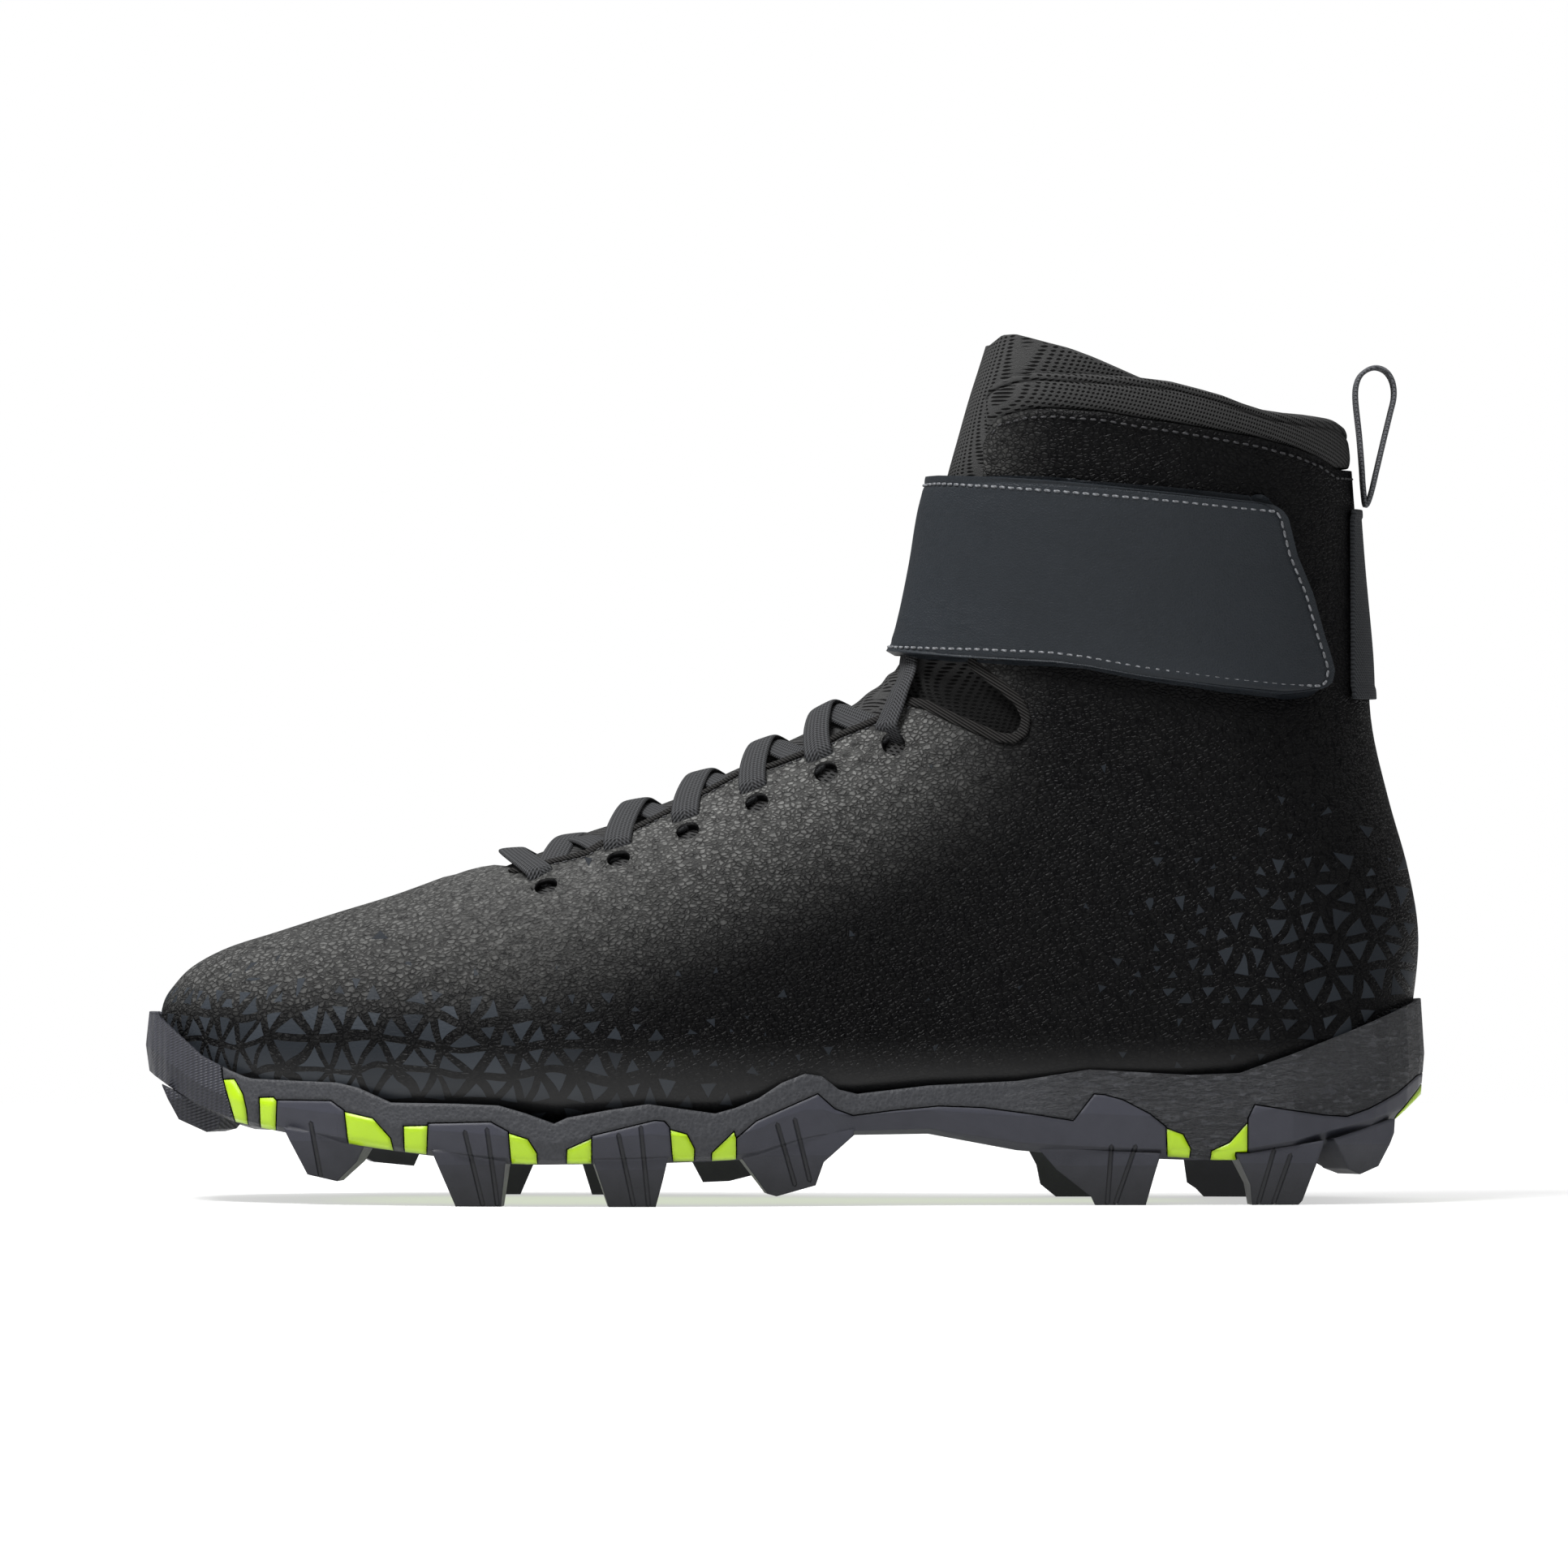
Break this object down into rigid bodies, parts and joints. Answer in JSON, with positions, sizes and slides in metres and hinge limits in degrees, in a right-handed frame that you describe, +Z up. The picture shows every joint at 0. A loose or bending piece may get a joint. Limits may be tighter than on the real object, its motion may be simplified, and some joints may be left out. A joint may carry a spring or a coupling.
{
  "type": "american football cleat",
  "caption": "High-top left football cleat: leather upper with ankle strap, laced throat, padded collar and tongue, cupped sole with moulded studs.",
  "frame": {"origin": "bottom centre of the shoe's bounding box, on the ground under the studs", "axes": "+X from toe to heel along the length, +Y to the medial side, +Z up"},
  "size_m": [0.2978, 0.1076, 0.2013],
  "materials": {
    "outsole": "moulded slate grey nylon plastic, satin",
    "sole_plate": "moulded lime plastic, satin",
    "midsole": "slate grey rubbery side wall with a leathery moulded texture",
    "insole": "black woven cover on foam",
    "upper": "black synthetic leather, pebbled grain, satin",
    "collar_cuff": "black open spacer mesh over foam",
    "tongue": "black open spacer mesh over foam",
    "laces": "dark grey flat woven polyester lace",
    "ankle_strap": "slate synthetic leather, fine grain, light grey stitching",
    "heel_tab": "dark grey woven elastic",
    "pull_loop": "grey woven tape"
  },
  "bodies": {
    "root": {"outsole": "outsole", "sole_plate": "sole_plate", "midsole": "midsole", "insole": "insole", "upper": "upper", "collar_cuff": "collar_cuff", "tongue": "tongue", "lace_bar": "laces", "lace_crossing_1": "laces", "lace_crossing_2": "laces", "lace_crossing_3": "laces", "lace_crossing_4": "laces", "lace_crossing_5": "laces", "lace_end_lateral": "laces", "lace_end_medial": "laces", "ankle_strap": "ankle_strap", "heel_tab": "heel_tab", "pull_loop": "pull_loop"}
  },
  "joints": []
}
